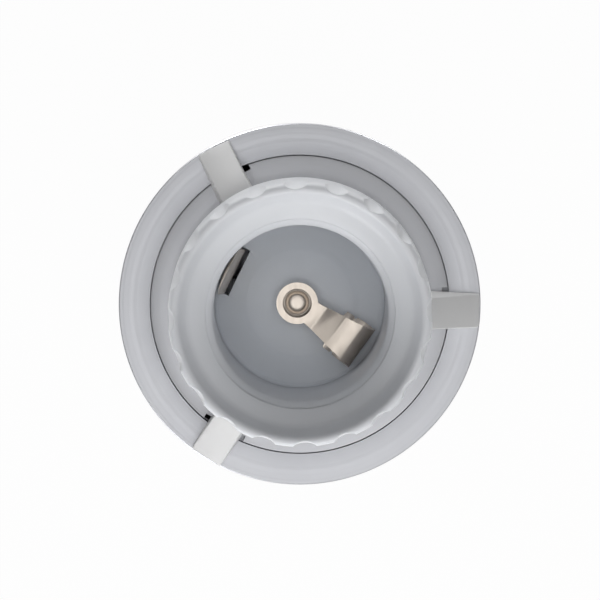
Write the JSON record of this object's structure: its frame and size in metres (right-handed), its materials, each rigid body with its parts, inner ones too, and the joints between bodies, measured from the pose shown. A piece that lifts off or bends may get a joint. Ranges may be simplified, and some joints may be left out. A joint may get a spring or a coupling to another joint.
{
  "type": "pull cord switch lampholder",
  "caption": "Edison-screw lampholder with a pull-cord switch in a turned metal cup, fluted grip ring and three-armed clamp.",
  "frame": {"origin": "centre of the cup's flat rear face", "axes": "+Z along the lamp axis out of the mouth of the bore; -Y towards the pull cord's bush"},
  "size_m": [0.0572, 0.0572, 0.0647],
  "materials": {
    "satin_aluminium": "satin",
    "white_moulding": "satin moulded",
    "arm_moulding": "satin moulded",
    "grey_moulding": "matt moulded",
    "dark_moulding": "matt moulded",
    "nickel_plate": "nickel plated",
    "brass": "bright",
    "bronze": "bright",
    "zinc_steel": "zinc plated"
  },
  "bodies": {
    "housing": {"housing_cup": "satin_aluminium", "cover_plate": "satin_aluminium", "clamp_spider": "arm_moulding", "lamp_barrel": "white_moulding", "contact_base": "grey_moulding", "contact_foot": "nickel_plate", "centre_rivet": "nickel_plate", "switch_case": "dark_moulding", "switch_lid": "dark_moulding", "switch_axle": "zinc_steel", "return_spring": "zinc_steel", "line_strap": "brass", "lamp_strap": "brass", "terminal_block": "white_moulding", "line_terminal": "brass", "neutral_terminal": "brass", "line_terminal_screw": "zinc_steel", "neutral_terminal_screw": "zinc_steel", "block_screw": "zinc_steel", "case_screw_1": "zinc_steel", "case_screw_2": "zinc_steel", "cord_bush": "white_moulding", "bush_nut": "zinc_steel", "entry_bush": "brass", "entry_grub_screw": "zinc_steel", "earth_screw": "zinc_steel", "earth_washer": "brass"},
    "grip_ring": {"grip_ring": "white_moulding"},
    "centre_leaf": {"contact_leaf": "nickel_plate"},
    "side_blade": {"side_contact": "nickel_plate"},
    "lever": {"pull_lever": "arm_moulding"},
    "pawl_finger": {"pawl": "brass"},
    "rotor": {"ratchet_rotor": "arm_moulding", "contact_cross": "bronze"}
  },
  "joints": [
    {"name": "grip_turn", "type": "hinge", "parent": "housing", "child": "grip_ring", "pos_m": [0, 0, 0.0547], "axis": [0, 0, 1], "range_deg": [0, 360]},
    {"name": "centre_contact_flex", "type": "hinge", "parent": "housing", "child": "centre_leaf", "pos_m": [0.00895, -0.00639, 0.0352], "axis": [-0.5807, -0.8141, 0], "range_deg": [0, 8], "stiffness_Nm_per_rad": 0.05},
    {"name": "side_contact_flex", "type": "hinge", "parent": "housing", "child": "side_blade", "pos_m": [-0.01061, 0.00517, 0.0262], "axis": [-0.4384, -0.8988, 0], "range_deg": [0, 3], "stiffness_Nm_per_rad": 0.1},
    {"name": "lever_pull", "type": "hinge", "parent": "housing", "child": "lever", "pos_m": [0.0086, 0, 0.0154], "axis": [0, 0, 1], "range_deg": [0, 45], "stiffness_Nm_per_rad": 0.02, "springref_deg": -17.19, "deforming": ["return_spring"]},
    {"name": "ratchet_turn", "type": "hinge", "parent": "housing", "child": "rotor", "pos_m": [0.0086, 0, 0.0175], "axis": [0, 0, 1], "range_deg": [0, 45]},
    {"name": "pawl_lift", "type": "hinge", "parent": "lever", "child": "pawl_finger", "pos_m": [0.00797, -0.00717, 0.01725], "axis": [0, 0, -1], "range_deg": [0, 15], "stiffness_Nm_per_rad": 0.002}
  ],
  "couplings": [
    {"joint": "ratchet_turn", "follows": "lever_pull", "ratio": 1}
  ]
}
